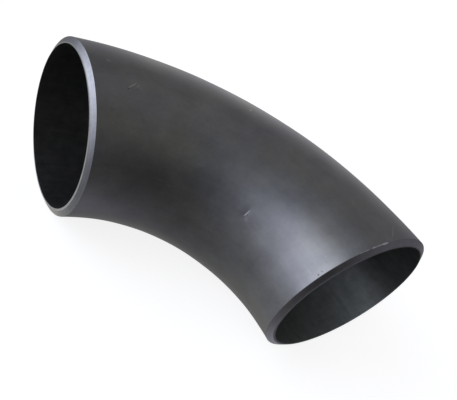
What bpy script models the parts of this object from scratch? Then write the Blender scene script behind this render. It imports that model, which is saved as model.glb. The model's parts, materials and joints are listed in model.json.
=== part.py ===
"""Long-radius 90 degree butt-weld pipe elbow, nominal size 4 inch (DN 100).

One piece of steel tube: a round section swept through a quarter turn, with
both ends faced square and bevelled for welding. Bending has thinned the wall at
the heel and thickened it at the throat, so the bore lies a little nearer to the
heel than the outside does. The elbow lies on its side, with the plane of the
bend level.

Frame: metres, +Z up. The origin is under the middle of the bounding box, on
the surface that the elbow lies on. End A opens towards -X and end B towards
-Y, so the elbow turns the flow from +X to -Y.
"""

import math

import bmesh
import bpy
from mathutils import Matrix, Vector

# Driving dimensions, in metres and radians.
OUTSIDE_DIAMETER = 0.1143  # of the tube
BEND_RADIUS = 0.1524  # of the centreline, which is also centre to end
BEND_ANGLE = math.radians(90.0)
WALL = 0.00475  # of the tube, on average
HEEL_THINNING = 0.0007  # of the wall at the heel, and its growth at the throat
ROOT_FACE = 0.00095  # radial width of the flat ring around the bore, on average
BEVEL_ANGLE = math.radians(30.0)  # between the bevel and the end's plane

# Resolution.
AROUND = 64  # flats around the tube
STEP_ANGLE = math.radians(3.0)  # of the bend
OVERRUN = STEP_ANGLE / 2  # swept past each end, and then faced off

# Sizes that follow.
OUTER_RADIUS = OUTSIDE_DIAMETER / 2
BORE_RADIUS = OUTER_RADIUS - WALL
ROOT_RADIUS = BORE_RADIUS + ROOT_FACE
BEVEL_DEPTH = (OUTER_RADIUS - ROOT_RADIUS) * math.tan(BEVEL_ANGLE)

# The flat at the heel that an end's plane halves is the furthest part from the
# bend's centre, along X and along Y alike.
HEEL_REACH = (BEND_RADIUS + OUTER_RADIUS) * math.cos(OVERRUN)
BEND_CENTRE = Vector((-HEEL_REACH / 2, -HEEL_REACH / 2, OUTER_RADIUS))


def clear_scene():
    for obj in list(bpy.data.objects):
        bpy.data.objects.remove(obj, do_unlink=True)


def make_collection(name):
    collection = bpy.data.collections.new(name)
    bpy.context.scene.collection.children.link(collection)
    return collection


def steel():
    """Carbon steel under a thin, dark, half-matt skin."""
    material = bpy.data.materials.new("dark_steel")
    material.use_nodes = True
    shader = material.node_tree.nodes["Principled BSDF"]
    shader.inputs["Base Color"].default_value = (0.085, 0.085, 0.092, 1.0)
    shader.inputs["Metallic"].default_value = 0.6
    shader.inputs["Roughness"].default_value = 0.42
    return material


def tube(name, collection):
    """A ring-shaped section swept about the bend's axis, a little past both ends."""
    blank = bmesh.new()
    loops = []
    for centreline, radius in (
        (BEND_RADIUS, OUTER_RADIUS),
        (BEND_RADIUS + HEEL_THINNING, BORE_RADIUS),
    ):
        # The section stands in the XZ plane, at +X from the bend's axis.
        stand = Matrix.Translation((centreline, 0.0, 0.0)) @ Matrix.Rotation(
            math.radians(90.0), 4, "X"
        )
        circle = bmesh.ops.create_circle(
            blank, cap_ends=False, segments=AROUND, radius=radius, matrix=stand
        )
        loops.append(circle["verts"])
    outside, bore = loops
    section = [
        blank.faces.new((outside[k - 1], outside[k], bore[k], bore[k - 1]))
        for k in range(AROUND)
    ]

    start = Matrix.Rotation(-OVERRUN, 3, "Z")
    bmesh.ops.rotate(blank, matrix=start, verts=blank.verts)
    steps = round((BEND_ANGLE + 2 * OVERRUN) / STEP_ANGLE)
    bmesh.ops.spin(
        blank,
        geom=section,
        axis=(0.0, 0.0, 1.0),
        angle=steps * STEP_ANGLE,
        steps=steps,
    )
    bmesh.ops.recalc_face_normals(blank, faces=blank.faces)

    mesh = bpy.data.meshes.new(name)
    blank.to_mesh(mesh)
    blank.free()
    obj = bpy.data.objects.new(name, mesh)
    collection.objects.link(obj)
    obj.location = BEND_CENTRE
    return obj


def end_tool(name, collection, end_centre, outward):
    """The facing and bevelling cut, as a solid turned about the tube's axis.

    Its flat face lies on the end's plane as far as the root face, and its cone
    runs back from there at the bevel's angle, past the tube's outside.
    """
    clear = 0.012  # how far the tool stands out past the tube
    wide = OUTER_RADIUS + clear
    back = (wide - ROOT_RADIUS) * math.tan(BEVEL_ANGLE)
    # Radius and height along the outward axis, from the outer end to the bore.
    profile = [
        (0.0, 3 * clear),
        (wide, 3 * clear),
        (wide, -back),
        (ROOT_RADIUS, 0.0),
        (0.0, 0.0),
    ]
    mesh = bpy.data.meshes.new(name)
    turned = bmesh.new()
    points = [turned.verts.new((radius, 0.0, height)) for radius, height in profile]
    for first, second in zip(points, points[1:]):
        turned.edges.new((first, second))
    turned.to_mesh(mesh)
    turned.free()

    obj = bpy.data.objects.new(name, mesh)
    collection.objects.link(obj)
    turn = obj.modifiers.new("turn", "SCREW")
    turn.axis = "Z"
    turn.angle = math.radians(360.0)
    turn.steps = AROUND
    turn.render_steps = AROUND
    turn.use_merge_vertices = True
    turn.merge_threshold = 0.00001

    # The tool's flats sit half a step round from the tube's, so that no edge
    # of one lies along an edge of the other.
    phase = Matrix.Rotation(math.pi / AROUND, 4, "Z")
    aim = Vector((0.0, 0.0, 1.0)).rotation_difference(outward).to_matrix().to_4x4()
    obj.matrix_world = Matrix.Translation(end_centre) @ aim @ phase
    return obj


def cut(obj, tool):
    tool.hide_render = True
    tool.display_type = "WIRE"
    machining = obj.modifiers.new(tool.name, "BOOLEAN")
    machining.operation = "DIFFERENCE"
    machining.solver = "EXACT"
    machining.object = tool


def settle(obj):
    """Makes the machined result the object's own mesh, smooth except where a
    machined edge turns sharply."""
    bpy.context.view_layer.update()
    depsgraph = bpy.context.evaluated_depsgraph_get()
    mesh = bpy.data.meshes.new_from_object(obj.evaluated_get(depsgraph))
    mesh.name = obj.name
    mesh.shade_smooth()
    mesh.set_sharp_from_angle(angle=math.radians(25.0))
    obj.modifiers.clear()
    obj.data = mesh


def main():
    clear_scene()
    parts = make_collection("pipe_elbow")
    tools = make_collection("cutters")
    tools.hide_render = True

    body = tube("elbow_body", parts)
    body.data.materials.append(steel())
    end_a = BEND_CENTRE + Vector((0.0, BEND_RADIUS, 0.0))
    end_b = BEND_CENTRE + Vector((BEND_RADIUS, 0.0, 0.0))
    cut(body, end_tool("end_a_tool", tools, end_a, Vector((-1.0, 0.0, 0.0))))
    cut(body, end_tool("end_b_tool", tools, end_b, Vector((0.0, -1.0, 0.0))))
    settle(body)


main()
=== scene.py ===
"""Looks of the pipe elbow: one steel tube with a dark skin, bare bevelled ends and a scaled bore.

The surface is a closed mesh of rings, each ring at a station along the bend.
The rings run from end B round the outside to end A, over its bevel and root
face, back through the bore, and over end B's root face and bevel.
"""

import json
import math

import bpy
import numpy as np
from mathutils import Matrix, Vector


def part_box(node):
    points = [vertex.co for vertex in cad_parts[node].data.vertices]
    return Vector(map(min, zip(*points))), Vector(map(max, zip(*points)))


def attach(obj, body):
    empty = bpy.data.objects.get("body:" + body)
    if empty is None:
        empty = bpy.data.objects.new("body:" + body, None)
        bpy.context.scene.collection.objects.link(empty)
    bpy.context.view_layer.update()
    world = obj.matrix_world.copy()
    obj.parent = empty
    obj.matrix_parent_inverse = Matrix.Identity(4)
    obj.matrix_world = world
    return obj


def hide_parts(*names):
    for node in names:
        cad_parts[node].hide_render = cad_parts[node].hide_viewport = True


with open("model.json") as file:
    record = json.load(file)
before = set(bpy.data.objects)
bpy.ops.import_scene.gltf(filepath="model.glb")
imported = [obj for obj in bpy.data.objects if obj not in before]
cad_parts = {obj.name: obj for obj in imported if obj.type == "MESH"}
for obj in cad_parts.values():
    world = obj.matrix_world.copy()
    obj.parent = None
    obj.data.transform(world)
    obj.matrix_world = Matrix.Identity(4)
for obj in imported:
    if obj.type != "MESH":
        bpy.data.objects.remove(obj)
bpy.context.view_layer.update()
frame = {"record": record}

# ---------------------------------------------------------------- the frame
low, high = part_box("elbow_body")
mounts = {m["name"]: m for m in frame["record"]["mounts"]}
CENTRE = Vector((low.x, low.y, (low.z + high.z) / 2))  # of the bend
OUTER = (high.z - low.z) / 2
BEND = mounts["weld_end_a"]["pos_m"][1] - CENTRE.y
WALL = 0.00475  # on average: bending thins it at the heel
HEEL_THINNING = 0.0007
ROOT_FACE = 0.00095
BEVEL = math.radians(30.0)
BORE = OUTER - WALL
ROOT = BORE + ROOT_FACE
BEVEL_DEPTH = (OUTER - ROOT) * math.tan(BEVEL)

AROUND = 256
OUTSIDE_RINGS = 196
BORE_RINGS = 84


# ---------------------------------------------------------------- the camera
def make_camera():
    cam = bpy.data.cameras.new("camera")
    cam.sensor_width = 36.0
    cam.lens = 36.0 * 467.18 / 457.0
    cam.shift_x = (228.5 - 190.45) / 457.0
    cam.shift_y = (194.25 - 200.0) / 457.0
    cam.clip_start, cam.clip_end = 0.01, 50.0
    obj = bpy.data.objects.new("camera", cam)
    bpy.context.scene.collection.objects.link(obj)
    right = Vector((0.82230, -0.39455, 0.41007))
    up = Vector((-0.00543, 0.71514, 0.69896))
    back = right.cross(up).normalized()
    up = back.cross(right).normalized()
    right.normalize()
    turn = Matrix((right, up, back)).transposed().to_4x4()
    place = CENTRE + Vector((-0.100135, -0.084683, 0.180739))
    obj.matrix_world = Matrix.Translation(place) @ turn
    bpy.context.scene.camera = obj
    return obj


# ---------------------------------------------------------------- the surface
def bore_radius(psi):
    """From the outside's centreline to the bore, which lies nearer to the heel."""
    return HEEL_THINNING * np.cos(psi) + np.sqrt(
        BORE**2 - (HEEL_THINNING * np.sin(psi)) ** 2
    )


def rounded(points, radii, steps):
    """A polyline with its inner corners rounded, as (depth, radius) points."""
    out = [np.array(points[0], float)]
    for before, at, after, r in zip(points, points[1:], points[2:], radii):
        before, at, after = (np.array(p, float) for p in (before, at, after))
        a, b = before - at, after - at
        a, b = a / np.linalg.norm(a), b / np.linalg.norm(b)
        half = math.acos(np.clip(a @ b, -1, 1)) / 2
        reach = r / math.tan(half)
        middle = at + (a + b) / np.linalg.norm(a + b) * r / math.sin(half)
        start, end = at + a * reach - middle, at + b * reach - middle
        whole = math.acos(np.clip(start @ end / r**2, -1, 1))
        for k in range(steps + 1):
            t = k / steps
            out.append(
                middle
                + (start * math.sin((1 - t) * whole) + end * math.sin(t * whole))
                / math.sin(whole)
            )
    out.append(np.array(points[-1], float))
    return out


DEEP = 0.006  # behind an end's plane, where the rings of the bend begin
SKIN, BEVELLED, FACED, INSIDE = range(4)
# The corners are the outer edge, the root face's outer edge and the bore's edge.
CORNER_RADII = (0.00022, 0.00018, 0.00012)
# What each stretch of an end's profile is, and how many faces it takes.
STRETCHES = (
    ((SKIN, 6),)
    + ((SKIN, 1), (SKIN, 1), (BEVELLED, 1), (BEVELLED, 1))
    + ((BEVELLED, 6),)
    + ((BEVELLED, 1), (BEVELLED, 1), (FACED, 1), (FACED, 1))
    + ((FACED, 1),)
    + ((FACED, 1), (FACED, 1), (INSIDE, 1), (INSIDE, 1))
    + ((INSIDE, 8),)
)
PROFILE_REGIONS = [kind for kind, count in STRETCHES for _ in range(count)]


def end_profile(bore):
    """(depth, radius) points from the outside, over the end, into the bore."""
    corners = [
        (DEEP, OUTER),
        (BEVEL_DEPTH, OUTER),
        (0.0, ROOT),
        (0.0, bore),
        (DEEP, bore),
    ]
    line = rounded(corners, CORNER_RADII, 4)
    points = []
    for (kind, count), a, b in zip(STRETCHES, line, line[1:]):
        points += [a + (b - a) * k / count for k in range(count)]
    points.append(line[-1])
    return points


TAU = 2 * math.pi
# Knocks: degrees along the bend and round the tube, then how long, wide and deep.
DENTS = (
    (32.4, 154.6, 0.0016, 0.0030, 0.00016),
    (78.3, 111.8, 0.0014, 0.0030, 0.00008),
    (58.0, 62.0, 0.0040, 0.0034, 0.00010),
    (21.0, -32.0, 0.0026, 0.0044, 0.00018),
    (64.0, -74.0, 0.0034, 0.0026, 0.00014),
)


def swell_outside(phi, psi):
    """How far the formed outside stands off the true torus, in metres."""
    w = (
        0.00010 * np.sin(3.1 * phi + 2 * psi + 0.4)
        + 0.00007 * np.sin(7.3 * phi - 3 * psi + 1.9)
        + 0.00005 * np.sin(12.0 * phi + 4 * psi + 4.0)
        + 0.00004 * np.sin(5.0 * phi + 7 * psi + 2.2)
        + 0.000025 * np.sin(23.0 * phi - 5 * psi + 0.7)
    )
    # Forming left the heel a little full round the middle of the bend.
    w = w + 0.00045 * np.exp(-(((phi - 0.62) / 0.42) ** 2)) * (
        (1 + np.cos(psi - 1.2)) / 2
    ) ** 2
    for at_phi, at_psi, long, wide, deep in DENTS:
        across = BEND + OUTER * math.cos(math.radians(at_psi))
        turn = (psi - math.radians(at_psi) + math.pi) % TAU - math.pi
        u = (phi - math.radians(at_phi)) * across / long
        v = turn * OUTER / wide
        w = w - deep * np.exp(-(u * u + v * v) / 2)
    return w


def swell_bore(phi, psi):
    w = (
        0.00016 * np.sin(4.1 * phi + 2 * psi + 2.4)
        + 0.00010 * np.sin(9.3 * phi - 3 * psi + 0.9)
        + 0.00008 * np.sin(6.0 * phi + 5 * psi + 1.0)
    )
    return w


def ring_by_depth(depth, radius, psi, end):
    """A ring that lies in a plane square to an end's axis, depth behind the end."""
    across = BEND + radius * np.cos(psi)
    out = np.sqrt(across**2 - depth**2)
    height = radius * np.sin(psi)
    if end == "b":
        return np.stack([out, depth, height], 1)
    return np.stack([depth, out, height], 1)


def elbow_mesh():
    psi = np.arange(AROUND) / AROUND * TAU
    bore = bore_radius(psi)
    # Every point of the ends' profile, at every angle round the tube.
    profile = np.array([end_profile(r) for r in bore]).transpose(1, 2, 0)
    # How far round the profile each of its points is, in metres.
    steps = np.linalg.norm(np.diff(profile, axis=0), axis=1)
    run = np.concatenate([np.zeros_like(steps[:1]), np.cumsum(steps, axis=0)])
    rings, regions = [], []
    tubes, alongs = [], []

    def unrolled(phi):
        """Where a vertex is on the tube laid straight, for marks that follow it."""
        tubes.append(
            np.stack([OUTER * np.cos(psi), OUTER * np.sin(psi), BEND * phi], 1)
        )

    def torus_rings(radius, count, swell, backwards, region):
        start = np.arcsin(DEEP / (BEND + radius * np.cos(psi)))
        ts = np.linspace(0, 1, count + 2)[1:-1]
        for t in ts[::-1] if backwards else ts:
            phi = start * (1 - t) + (math.pi / 2 - start) * t
            fade = np.clip(np.minimum(t, 1 - t) / 0.06, 0, 1)
            fade = fade * fade * (3 - 2 * fade)
            r = radius + swell(phi, psi) * fade
            across = BEND + r * np.cos(psi)
            rings.append(
                np.stack(
                    [across * np.cos(phi), across * np.sin(phi), r * np.sin(psi)], 1
                )
            )
            regions.append(region)
            unrolled(phi)
            alongs.append(run[-1] if region == INSIDE else run[0])

    # Each entry of regions is the region between that ring and the next.
    def end_rings(end, backwards):
        order = range(len(profile))
        kinds = PROFILE_REGIONS + [INSIDE]
        if backwards:
            order = order[::-1]
            kinds = PROFILE_REGIONS[::-1] + [SKIN]
        for k, kind in zip(order, kinds):
            rings.append(ring_by_depth(profile[k, 0], profile[k, 1], psi, end))
            unrolled(np.full_like(psi, 0.0 if end == "b" else math.pi / 2))
            alongs.append(run[k])
            regions.append(kind)

    torus_rings(OUTER, OUTSIDE_RINGS, swell_outside, False, SKIN)
    end_rings("a", False)
    torus_rings(bore, BORE_RINGS, swell_bore, True, INSIDE)
    end_rings("b", True)

    points = np.concatenate(rings)
    count = len(rings)
    k = np.arange(count)[:, None] * AROUND
    n = (np.arange(count)[:, None] + 1) % count * AROUND
    j = np.arange(AROUND)[None]
    m = (j + 1) % AROUND
    faces = np.stack([k + j, k + m, n + m, n + j], -1).reshape(-1, 4)
    slots = np.repeat(np.array(regions), AROUND)

    mesh = bpy.data.meshes.new("elbow")
    mesh.from_pydata(
        (points + np.array(CENTRE)).tolist(), [], faces.tolist(), shade_flat=False
    )
    mesh.update()
    mesh.polygons.foreach_set("material_index", slots.astype(np.int32))
    mesh.shade_smooth()
    tube = mesh.attributes.new("tube", "FLOAT_VECTOR", "POINT")
    tube.data.foreach_set("vector", np.concatenate(tubes).astype(np.float32).ravel())
    along = mesh.attributes.new("along", "FLOAT", "POINT")
    along.data.foreach_set("value", np.concatenate(alongs).astype(np.float32))
    # Volume says which way the faces look.
    a = points[faces]
    solid = np.einsum(
        "ij,ij->i", a[:, 0], np.cross(a[:, 1], a[:, 2])
    ).sum() + np.einsum("ij,ij->i", a[:, 0], np.cross(a[:, 2], a[:, 3])).sum()
    if solid < 0:
        mesh.flip_normals()
    return mesh


# ---------------------------------------------------------------- materials
class Graph:
    """A material's node tree, with short ways to add to it."""

    def __init__(self, name):
        self.material = bpy.data.materials.new(name)
        self.material.use_nodes = True
        tree = self.material.node_tree
        self.nodes, self.links = tree.nodes, tree.links
        self.shader = self.nodes["Principled BSDF"]

    def feed(self, socket, value):
        if isinstance(value, bpy.types.NodeSocket):
            self.links.new(value, socket)
        else:
            socket.default_value = value

    def math(self, operation, *values, clamp=False):
        node = self.nodes.new("ShaderNodeMath")
        node.operation, node.use_clamp = operation, clamp
        for socket, value in zip(node.inputs, values):
            self.feed(socket, value)
        return node.outputs[0]

    def vector(self, operation, *values):
        node = self.nodes.new("ShaderNodeVectorMath")
        node.operation = operation
        for socket, value in zip(node.inputs, values):
            self.feed(socket, value)
        return node.outputs["Value" if operation == "DOT_PRODUCT" else "Vector"]

    def length(self, value):
        node = self.nodes.new("ShaderNodeVectorMath")
        node.operation = "LENGTH"
        self.feed(node.inputs[0], value)
        return node.outputs["Value"]

    def attribute(self, name, output="Vector"):
        node = self.nodes.new("ShaderNodeAttribute")
        node.attribute_name = name
        return node.outputs[output]

    def here(self):
        return self.nodes.new("ShaderNodeTexCoord").outputs["Object"]

    def noise(self, vector, scale, detail=3.0, rough=0.5, w=None):
        node = self.nodes.new("ShaderNodeTexNoise")
        node.noise_dimensions = "3D" if w is None else "4D"
        self.feed(node.inputs["Vector"], vector)
        if w is not None:
            self.feed(node.inputs["W"], w)
        node.inputs["Scale"].default_value = scale
        node.inputs["Detail"].default_value = detail
        node.inputs["Roughness"].default_value = rough
        return node.outputs[0]

    def spots(self, vector, scale, jitter=1.0):
        node = self.nodes.new("ShaderNodeTexVoronoi")
        self.feed(node.inputs["Vector"], vector)
        node.inputs["Scale"].default_value = scale
        node.inputs["Randomness"].default_value = jitter
        return node.outputs["Distance"], node.outputs["Color"]

    def span(self, value, a, b, c, d, smooth=True):
        """value from a..b to c..d, held at the ends."""
        node = self.nodes.new("ShaderNodeMapRange")
        node.interpolation_type = "SMOOTHSTEP" if smooth else "LINEAR"
        for socket, v in zip(node.inputs, (value, a, b, c, d)):
            self.feed(socket, v)
        return node.outputs["Result"]

    def blend(self, factor, a, b):
        node = self.nodes.new("ShaderNodeMix")
        node.data_type = "RGBA"
        for k, v in ((0, factor), (6, a), (7, b)):
            self.feed(node.inputs[k], v)
        return node.outputs[2]

    def scale(self, colour, factor):
        """A colour times a number that varies over the surface."""
        node = self.nodes.new("ShaderNodeVectorMath")
        node.operation = "SCALE"
        self.feed(node.inputs[0], colour)
        self.feed(node.inputs["Scale"], factor)
        return node.outputs["Vector"]

    def bump(self, height, distance, strength=1.0, normal=None):
        node = self.nodes.new("ShaderNodeBump")
        node.inputs["Strength"].default_value = strength
        node.inputs["Distance"].default_value = distance
        self.feed(node.inputs["Height"], height)
        if normal is not None:
            self.links.new(normal, node.inputs["Normal"])
        return node.outputs["Normal"]

    def near_line(self, where, a, b, width):
        """1 on the line from a to b, falling to 0 at width from it."""
        a, b = Vector(a), Vector(b)
        run = b - a
        from_a = self.vector("SUBTRACT", where, a)
        t = self.math(
            "MULTIPLY",
            self.vector("DOT_PRODUCT", from_a, run),
            1 / run.length_squared,
            clamp=True,
        )
        node = self.nodes.new("ShaderNodeVectorMath")
        node.operation = "SCALE"
        node.inputs[0].default_value = run
        self.feed(node.inputs["Scale"], t)
        off = self.length(self.vector("SUBTRACT", from_a, node.outputs["Vector"]))
        # A scratch thins out towards its ends.
        taper = self.math("MULTIPLY", t, self.math("SUBTRACT", 1.0, t))
        wide = self.math("MULTIPLY_ADD", taper, 2.4 * width, 0.4 * width)
        return self.math(
            "SUBTRACT", 1.0, self.math("DIVIDE", off, wide), clamp=True
        )

    def most(self, values):
        out = values[0]
        for v in values[1:]:
            out = self.math("MAXIMUM", out, v)
        return out


def on_skin(phi, psi):
    """A point of the outside, by its degrees along the bend and round the tube."""
    phi, psi = math.radians(phi), math.radians(psi)
    across = BEND + OUTER * math.cos(psi)
    return CENTRE + Vector(
        (across * math.cos(phi), across * math.sin(phi), OUTER * math.sin(psi))
    )


def on_edge(end, psi):
    """A point of the sharp edge between an end's bevel and the outside."""
    psi = math.radians(psi)
    across, height = BEND + OUTER * math.cos(psi), OUTER * math.sin(psi)
    if end == "b":
        return CENTRE + Vector((across, BEVEL_DEPTH, height))
    return CENTRE + Vector((BEVEL_DEPTH, across, height))


# Handling scratches: degrees along the bend and round the tube at both ends,
# width in metres, and how bare they are.
SCRATCHES = (
    (79.9, 113.9, 77.9, 109.6, 0.00062, 0.85),
    (77.7, 112.4, 76.9, 110.0, 0.00050, 0.45),
    (79.3, 109.9, 78.4, 108.0, 0.00045, 0.25),
    (84.5, 96.7, 84.2, 95.4, 0.00270, 0.30),
    (32.7, 157.1, 32.2, 152.5, 0.00072, 0.75),
    (32.0, 157.3, 31.0, 159.6, 0.00060, 0.25),
    (31.4, 157.0, 30.4, 158.9, 0.00055, 0.22),
    (47.7, 88.9, 47.3, 87.8, 0.00130, 0.90),
    (4.7, 90.6, 1.9, 99.6, 0.00045, 0.50),
    (52.0, 24.0, 50.1, 29.5, 0.00050, 0.70),
    (22.0, -18.0, 25.1, -12.0, 0.00055, 0.80),
    (66.0, -62.0, 62.0, -58.0, 0.00050, 0.70),
    (12.0, -118.0, 16.5, -111.0, 0.00055, 0.80),
    (71.0, -140.0, 68.5, -136.0, 0.00060, 0.40),
)


# Dark specks: degrees along the bend and round the tube, radius in metres.
SPECKS = (
    (2.0, 149.6, 0.00055),
    (2.2, 146.9, 0.00040),
    (80.0, 114.4, 0.00060),
    (31.9, 155.6, 0.00045),
    (77.4, 113.6, 0.00045),
    (61.0, 131.0, 0.00035),
    (18.0, 118.0, 0.00035),
    (37.0, -55.0, 0.00050),
)


def painted_edge_glint(g, here, ragged):
    """A painted glint along end B's outer edge, where the facing tool left a small lip: its
    near-white colour stands in for light caught on the edge.
    """
    lines = [
        g.math(
            "MULTIPLY", g.near_line(here, on_edge("b", a), on_edge("b", b), w), bare
        )
        for a, b, w, bare in (
            (105.2, 109.2, 0.00085, 1.0),
            (109.2, 113.0, 0.00060, 0.55),
            (113.0, 116.5, 0.00060, 0.70),
            (118.0, 121.5, 0.00055, 0.45),
            (121.5, 124.5, 0.00050, 0.35),
        )
    ]
    return g.math("MULTIPLY", g.most(lines), ragged)


def skin_material():
    g = Graph("dark_skin")
    here, tube = g.here(), g.attribute("tube")
    cloud = g.noise(here, 22.0, 3.0, 0.5)
    patch = g.noise(here, 75.0, 4.0, 0.55)
    fleck = g.noise(here, 420.0, 4.0, 0.6)
    grain = g.noise(here, 2100.0, 3.0, 0.65)

    # Streaks left by forming: they run along the bend.
    drawn = g.vector("MULTIPLY", tube, Vector((1.0, 1.0, 0.06)))
    streak = g.noise(drawn, 520.0, 4.0, 0.62)
    long = g.vector("MULTIPLY", tube, Vector((1.0, 1.0, 0.025)))
    bands = g.noise(long, 95.0, 3.0, 0.55)

    tint = g.blend(
        g.span(cloud, 0.36, 0.64, 0.0, 1.0),
        (0.196, 0.195, 0.187, 1),
        (0.182, 0.183, 0.191, 1),
    )
    shade = g.math("MULTIPLY", g.span(patch, 0.3, 0.7, 0.90, 1.09, False), 1.0)
    shade = g.math("MULTIPLY", shade, g.span(fleck, 0.3, 0.7, 0.95, 1.05, False))
    shade = g.math("MULTIPLY", shade, g.span(streak, 0.3, 0.7, 0.97, 1.03, False))
    shade = g.math("MULTIPLY", shade, g.span(bands, 0.3, 0.7, 0.955, 1.045, False))
    base = g.scale(tint, shade)

    # Small shallow pits in the scale.
    far, pick = g.spots(here, 150.0)
    chosen = g.math("GREATER_THAN", g.noise(pick, 9.0, 0.0), 0.60)
    pits = g.math("MULTIPLY", g.span(far, 0.0, 0.085, 1.0, 0.0), chosen)
    specks = g.most(
        [
            g.span(
                g.length(g.vector("SUBTRACT", here, on_skin(a, b))),
                0.4 * r,
                1.1 * r,
                1.0,
                0.0,
            )
            for a, b, r in SPECKS
        ]
    )

    # Fine rub marks in patches, and single deeper scratches down to the metal.
    rub_a = g.noise(g.vector("MULTIPLY", tube, Vector((1.0, 1.0, 0.05))), 900.0, 2.0)
    rub_b = g.noise(g.vector("MULTIPLY", here, Vector((0.05, 1.0, 0.6))), 800.0, 2.0)
    rubbed = g.span(g.noise(here, 17.0, 2.0), 0.54, 0.66, 0.0, 1.0)
    rubs = g.math(
        "MULTIPLY",
        rubbed,
        g.most([g.span(rub_a, 0.66, 0.72, 0.0, 1.0), g.span(rub_b, 0.68, 0.74, 0.0, 1.0)]),
    )
    ragged = g.span(g.noise(here, 1500.0, 2.0), 0.35, 0.55, 0.45, 1.0)
    cuts = g.most(
        [
            g.math(
                "MULTIPLY", g.near_line(here, on_skin(a, b), on_skin(c, d), w), bare
            )
            for a, b, c, d, w, bare in SCRATCHES
        ]
    )
    cuts = g.math("MULTIPLY", cuts, ragged)
    # End B's outer edge gets a painted glint: a near-white strip for light caught on it.
    edge_glint = painted_edge_glint(g, here, ragged)

    base = g.blend(g.math("MULTIPLY", pits, 0.45), base, (0.10, 0.10, 0.10, 1))
    base = g.blend(g.math("MULTIPLY", specks, 0.75), base, (0.05, 0.05, 0.05, 1))
    base = g.blend(g.math("MULTIPLY", rubs, 0.28), base, (0.34, 0.34, 0.35, 1))
    base = g.blend(g.math("MULTIPLY", cuts, 0.9), base, (0.52, 0.52, 0.53, 1))
    base = g.blend(edge_glint, base, (0.90, 0.90, 0.90, 1))
    g.feed(g.shader.inputs["Base Color"], base)
    g.shader.inputs["Metallic"].default_value = 0.93

    rough = g.span(cloud, 0.3, 0.7, 0.385, 0.435, False)
    rough = g.math("ADD", rough, g.span(patch, 0.3, 0.7, -0.02, 0.02, False))
    rough = g.math("ADD", rough, g.span(fleck, 0.3, 0.7, -0.015, 0.015, False))
    rough = g.math("MULTIPLY_ADD", g.most([cuts, edge_glint]), -0.10, rough)
    g.feed(g.shader.inputs["Roughness"], rough)

    n = g.bump(patch, 0.00009)
    n = g.bump(fleck, 0.000022, 1.0, n)
    n = g.bump(streak, 0.000006, 1.0, n)
    n = g.bump(grain, 0.000009, 1.0, n)
    sunk = g.math("MULTIPLY", g.most([pits, specks]), -0.6)
    sunk = g.math("MULTIPLY_ADD", cuts, -1.0, sunk)
    n = g.bump(sunk, 0.00010, 1.0, n)
    g.feed(g.shader.inputs["Normal"], n)
    return g.material


def steel(name, colour, rough, depth, end_a_painted_highlight=None):
    """Bare steel turned on a facing machine: its marks run round the end.

    The colour given for end A is a painted highlight: that end alone is painted brighter, and it
    is smoother there.
    """
    g = Graph(name)
    here, along = g.here(), g.attribute("along", "Fac")
    # The cut wanders a little round the end, so the marks aren't perfect circles.
    drift = g.math("MULTIPLY", g.noise(here, 35.0, 2.0), 0.0006)
    path = g.math("ADD", along, drift)
    broad = g.noise(here, 9.0, 2.0, 0.5, g.math("MULTIPLY", path, 900.0))
    fine = g.noise(here, 16.0, 3.0, 0.6, g.math("MULTIPLY", path, 4200.0))
    cloud = g.noise(here, 60.0, 3.0, 0.55)
    chatter = g.noise(here, 260.0, 3.0, 0.6)

    tint = g.blend(g.span(cloud, 0.35, 0.65, 0.0, 1.0), colour[0], colour[1])
    # End A's copy is painted brighter, a painted highlight.
    if end_a_painted_highlight:
        place = g.nodes.new("ShaderNodeSeparateXYZ")
        g.feed(place.inputs[0], g.attribute("tube"))
        end_a_mask = g.span(place.outputs[2], 0.11, 0.13, 0.0, 1.0)
        tint = g.blend(end_a_mask, tint, end_a_painted_highlight)
    shade = g.span(broad, 0.3, 0.7, 0.82, 1.18, False)
    shade = g.math("MULTIPLY", shade, g.span(fine, 0.3, 0.7, 0.86, 1.14, False))
    shade = g.math("MULTIPLY", shade, g.span(chatter, 0.3, 0.7, 0.92, 1.08, False))
    # Odd dark specks where scale or dirt was carried into the cut.
    far, pick = g.spots(here, 260.0)
    dirt = g.math(
        "MULTIPLY",
        g.span(far, 0.0, 0.11, 1.0, 0.0),
        g.math("GREATER_THAN", g.noise(pick, 7.0, 0.0), 0.60),
    )
    base = g.scale(tint, shade)
    base = g.blend(g.math("MULTIPLY", dirt, 0.55), base, (0.10, 0.10, 0.10, 1))
    ragged = g.span(g.noise(here, 1500.0, 2.0), 0.35, 0.55, 0.45, 1.0)
    # The same painted glint on end B's outer edge, a near-white strip for light caught there.
    base = g.blend(painted_edge_glint(g, here, ragged), base, (0.90, 0.90, 0.90, 1))
    g.feed(g.shader.inputs["Base Color"], base)
    g.shader.inputs["Metallic"].default_value = 1.0

    r = g.span(fine, 0.3, 0.7, rough - 0.05, rough + 0.05, False)
    r = g.math("ADD", r, g.span(cloud, 0.3, 0.7, -0.03, 0.03, False))
    if end_a_painted_highlight:
        r = g.math("MULTIPLY_ADD", end_a_mask, -0.24, g.math("ADD", r, 0.20))
    g.feed(g.shader.inputs["Roughness"], r)
    n = g.bump(broad, depth * 1.6)
    n = g.bump(fine, depth, 1.0, n)
    n = g.bump(chatter, 0.00001, 1.0, n)
    g.feed(g.shader.inputs["Normal"], n)
    return g.material


def machined_material():
    return steel(
        "machined_steel",
        ((0.203, 0.200, 0.208, 1), (0.222, 0.223, 0.230, 1)),
        0.33,
        0.000012,
    )


def root_material():
    # The root face is painted darker than the bevel's steel, a painted shade, and far brighter at
    # end A, a painted highlight.
    return steel(
        "root_face_steel",
        ((0.098, 0.098, 0.102, 1), (0.112, 0.112, 0.115, 1)),
        0.36,
        0.000008,
        (0.35, 0.35, 0.36, 1),
    )


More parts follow.
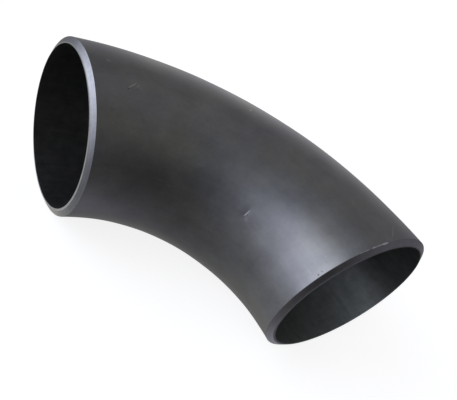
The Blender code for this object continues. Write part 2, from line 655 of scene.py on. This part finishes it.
def bore_material():
    g = Graph("bore_scale")
    here, tube = g.here(), g.attribute("tube")
    cloud = g.noise(here, 30.0, 3.0, 0.5)
    scale = g.noise(here, 190.0, 5.0, 0.62)
    grain = g.noise(here, 1300.0, 3.0, 0.6)
    # The mandrel's marks run along the bend.
    drawn = g.vector("MULTIPLY", tube, Vector((1.0, 1.0, 0.05)))
    streak = g.noise(drawn, 330.0, 4.0, 0.6)

    tint = g.blend(
        g.span(cloud, 0.36, 0.64, 0.0, 1.0),
        (0.188, 0.191, 0.190, 1),
        (0.198, 0.196, 0.190, 1),
    )
    # A painted patch of light, pale grey-green, along the bottom near end B: it stands in for
    # light the bore gives back there.
    place = g.nodes.new("ShaderNodeSeparateXYZ")
    g.feed(place.inputs[0], tube)
    ragged = g.math("MULTIPLY_ADD", cloud, 0.03, -0.015)
    painted_light_patch = g.math(
        "MULTIPLY",
        g.span(g.math("ADD", place.outputs[2], ragged), 0.07, 0.15, 1.0, 0.0),
        g.span(g.math("ADD", place.outputs[1], ragged), 0.012, -0.042, 0.0, 1.0),
    )
    tint = g.blend(painted_light_patch, tint, (0.226, 0.241, 0.233, 1))
    shade = g.math("MULTIPLY", g.span(scale, 0.3, 0.7, 0.86, 1.12, False), 1.0)
    shade = g.math("MULTIPLY", shade, g.span(streak, 0.3, 0.7, 0.92, 1.08, False))
    far, pick = g.spots(here, 120.0)
    flake = g.math(
        "MULTIPLY",
        g.span(far, 0.0, 0.16, 1.0, 0.0),
        g.math("GREATER_THAN", g.noise(pick, 5.0, 0.0), 0.58),
    )
    base = g.scale(tint, shade)
    base = g.blend(g.math("MULTIPLY", flake, 0.35), base, (0.30, 0.29, 0.27, 1))
    g.feed(g.shader.inputs["Base Color"], base)
    g.feed(g.shader.inputs["Metallic"], g.math("MULTIPLY_ADD", painted_light_patch, -0.28, 0.96))
    rough = g.span(scale, 0.3, 0.7, 0.31, 0.38, False)
    rough = g.math("MULTIPLY_ADD", painted_light_patch, 0.06, rough)
    g.feed(g.shader.inputs["Roughness"], rough)
    n = g.bump(scale, 0.00005)
    n = g.bump(streak, 0.00003, 1.0, n)
    n = g.bump(grain, 0.00001, 1.0, n)
    g.feed(g.shader.inputs["Normal"], n)
    return g.material


# ---------------------------------------------------------------- the studio
COOL, LILAC = (0.82, 0.87, 1.0), (0.88, 0.87, 1.0)
PLAIN, WARM = (0.97, 0.96, 1.0), (1.0, 0.99, 0.86)
# Soft lamps far away: azimuth, elevation, strength, colour. Every one is a
# smooth glow about 24 degrees to its half strength.
GLOWS = (
    (16, 67, 0.39, PLAIN),
    (-88, 47, 0.26, WARM),
    (166, 34, 1.58, COOL),
    (146, 18, 3.08, COOL),
    (-43, 11, 0.30, LILAC),
    (178, 9, 0.70, LILAC),
    (41, 7, 0.65, PLAIN),
    (53, -14, 0.50, PLAIN),
    (-104, -32, 0.09, WARM),
    (-19, -36, 0.41, LILAC),
    (-156, -38, 0.19, PLAIN),
    (150, -45, 0.45, COOL),
    (98, -53, 0.65, WARM),
    (-39, -56, 0.44, LILAC),
)
GLOW_TIGHTNESS = 8.0


def make_world():
    world = bpy.data.worlds.new("studio")
    bpy.context.scene.world = world
    world.use_nodes = True
    nodes, links = world.node_tree.nodes, world.node_tree.links
    nodes.clear()
    out = nodes.new("ShaderNodeOutputWorld")
    seen = nodes.new("ShaderNodeBackground")
    seen.inputs["Color"].default_value = (1, 1, 1, 1)
    lit = nodes.new("ShaderNodeBackground")
    where = nodes.new("ShaderNodeTexCoord").outputs["Generated"]
    total = None
    for azimuth, elevation, strength, colour in GLOWS:
        a, e = math.radians(azimuth), math.radians(elevation)
        way = (math.cos(a) * math.cos(e), math.sin(a) * math.cos(e), math.sin(e))
        dot = nodes.new("ShaderNodeVectorMath")
        dot.operation = "DOT_PRODUCT"
        dot.inputs[1].default_value = way
        links.new(where, dot.inputs[0])
        fall = nodes.new("ShaderNodeMath")
        fall.operation = "MULTIPLY_ADD"
        fall.inputs[1].default_value = GLOW_TIGHTNESS
        fall.inputs[2].default_value = -GLOW_TIGHTNESS
        links.new(dot.outputs["Value"], fall.inputs[0])
        glow = nodes.new("ShaderNodeMath")
        glow.operation = "EXPONENT"
        links.new(fall.outputs[0], glow.inputs[0])
        light = nodes.new("ShaderNodeVectorMath")
        light.operation = "SCALE"
        light.inputs[0].default_value = [strength * c for c in colour]
        links.new(glow.outputs[0], light.inputs["Scale"])
        if total is None:
            total = light.outputs["Vector"]
        else:
            add = nodes.new("ShaderNodeVectorMath")
            links.new(total, add.inputs[0])
            links.new(light.outputs["Vector"], add.inputs[1])
            total = add.outputs["Vector"]
    links.new(total, lit.inputs["Color"])
    path = nodes.new("ShaderNodeLightPath")
    mix = nodes.new("ShaderNodeMixShader")
    links.new(path.outputs["Is Camera Ray"], mix.inputs["Fac"])
    links.new(lit.outputs[0], mix.inputs[1])
    links.new(seen.outputs[0], mix.inputs[2])
    links.new(mix.outputs[0], out.inputs["Surface"])


def make_floor():
    size = 6.0
    mesh = bpy.data.meshes.new("floor")
    mesh.from_pydata(
        [(-size, -size, 0), (size, -size, 0), (size, size, 0), (-size, size, 0)],
        [],
        [(0, 1, 2, 3)],
    )
    obj = bpy.data.objects.new("floor", mesh)
    bpy.context.scene.collection.objects.link(obj)
    obj.location.z = -0.0002
    material = bpy.data.materials.new("pale_floor")
    material.use_nodes = True
    shader = material.node_tree.nodes["Principled BSDF"]
    shader.inputs["Base Color"].default_value = (0.34, 0.34, 0.34, 1)
    shader.inputs["Roughness"].default_value = 1.0
    shader.inputs["Specular IOR Level"].default_value = 0.0
    shader.inputs["Emission Color"].default_value = (1, 1, 1, 1)
    shader.inputs["Emission Strength"].default_value = 0.84
    mesh.materials.append(material)
    # The light from below stands for what a pale sweep gives back, so the floor
    # itself is only seen: it takes the elbow's shadow and blocks no light.
    obj.visible_glossy = obj.visible_diffuse = obj.visible_shadow = False
    obj.visible_transmission = False
    return obj


def main():
    scene = bpy.context.scene
    scene.view_settings.view_transform = "Standard"
    make_camera()

    body = bpy.data.objects.new("elbow", elbow_mesh())
    scene.collection.objects.link(body)
    for material in (
        skin_material(),
        machined_material(),
        root_material(),
        bore_material(),
    ):
        body.data.materials.append(material)
    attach(body, "root")
    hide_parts("elbow_body")

    make_floor()
    make_world()


main()
